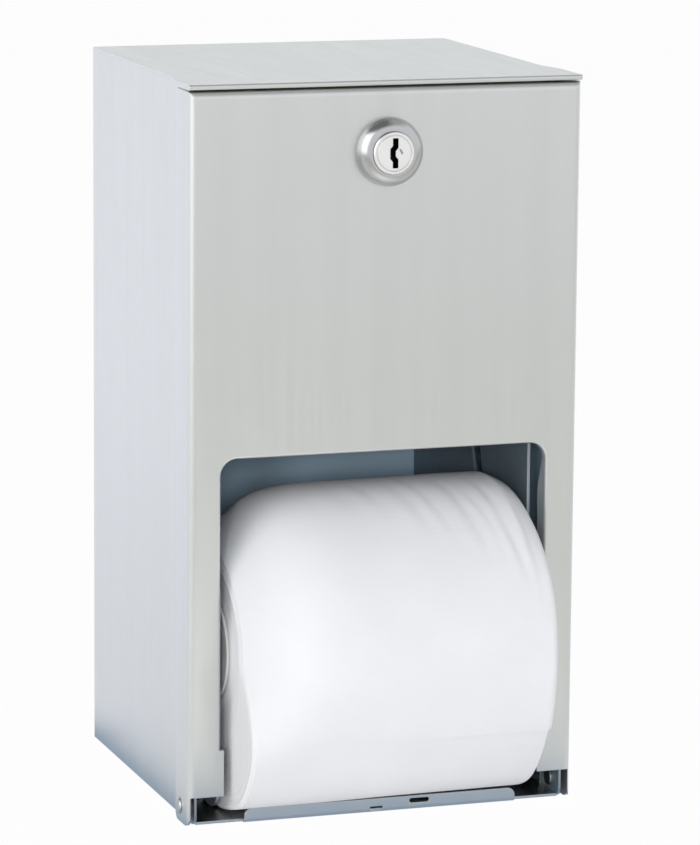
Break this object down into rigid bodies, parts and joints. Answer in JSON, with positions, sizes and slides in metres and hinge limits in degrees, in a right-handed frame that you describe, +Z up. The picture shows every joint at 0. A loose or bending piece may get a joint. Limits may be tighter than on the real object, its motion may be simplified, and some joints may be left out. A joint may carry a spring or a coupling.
{
  "type": "double roll toilet paper dispenser",
  "caption": "Wall dispenser for toilet rolls, one above the other, in a lockable satin steel case with a drop-down door.",
  "frame": {"origin": "centre of the four wall holes, on the cabinet's back face", "axes": "+X to the viewer's right, +Y into the wall, +Z up"},
  "size_m": [0.1556, 0.185, 0.2804],
  "materials": {
    "stainless": "satin",
    "guide_steel": "satin",
    "rivet_steel": "satin",
    "lock_chrome": "polished",
    "zinc_steel": "zinc plated",
    "spring_steel": "drawn wire",
    "nylon": "moulded",
    "abs": "moulded",
    "card": "plain card",
    "tissue": "soft tissue"
  },
  "bodies": {
    "cabinet": {"cabinet_body": "stainless", "cabinet_top": "stainless", "cabinet_floor": "stainless", "lock_keeper": "guide_steel", "pivot_rivets": "rivet_steel", "pivot_washers": "nylon", "left_guide": "guide_steel", "right_guide": "guide_steel", "guide_rivets": "rivet_steel", "catch_pins": "rivet_steel"},
    "door": {"door_panel": "stainless", "lock_housing": "lock_chrome", "lock_washer": "zinc_steel", "lock_nut": "zinc_steel"},
    "key_plug": {"lock_plug": "lock_chrome", "lock_cam": "zinc_steel", "cam_screw": "zinc_steel"},
    "lower_roll": {"lower_axle": "rivet_steel", "lower_spindle": "abs", "lower_core": "card", "lower_paper": "tissue"},
    "upper_roll": {"upper_axle": "rivet_steel", "upper_spindle": "abs", "upper_core": "card", "upper_paper": "tissue"},
    "catch_on_left": {"left_catch": "zinc_steel", "left_spring": "spring_steel"},
    "catch_on_right": {"right_catch": "zinc_steel", "right_spring": "spring_steel"}
  },
  "joints": [
    {"name": "door_hinge", "type": "hinge", "parent": "cabinet", "child": "door", "pos_m": [0, -0.134, -0.13425], "axis": [1, 0, 0], "range_deg": [0, 170]},
    {"name": "lock_turn", "type": "hinge", "parent": "door", "child": "key_plug", "pos_m": [0, -0.146, 0.11375], "axis": [0, -1, 0], "range_deg": [0, 90]},
    {"name": "lower_roll_spin", "type": "hinge", "parent": "cabinet", "child": "lower_roll", "pos_m": [0, -0.124, -0.07575], "axis": [1, 0, 0], "continuous": true},
    {"name": "upper_roll_spin", "type": "hinge", "parent": "cabinet", "child": "upper_roll", "pos_m": [0, -0.0725, 0.06775], "axis": [1, 0, 0], "continuous": true},
    {"name": "left_catch_swing", "type": "hinge", "parent": "cabinet", "child": "catch_on_left", "pos_m": [-0.066, -0.072, 0.04575], "axis": [0, -1, 0], "range_deg": [0, 15], "stiffness_Nm_per_rad": 0.02, "springref_deg": -20.05},
    {"name": "right_catch_swing", "type": "hinge", "parent": "cabinet", "child": "catch_on_right", "pos_m": [0.066, -0.072, 0.04575], "axis": [0, 1, 0], "range_deg": [0, 15], "stiffness_Nm_per_rad": 0.02, "springref_deg": -20.05}
  ]
}
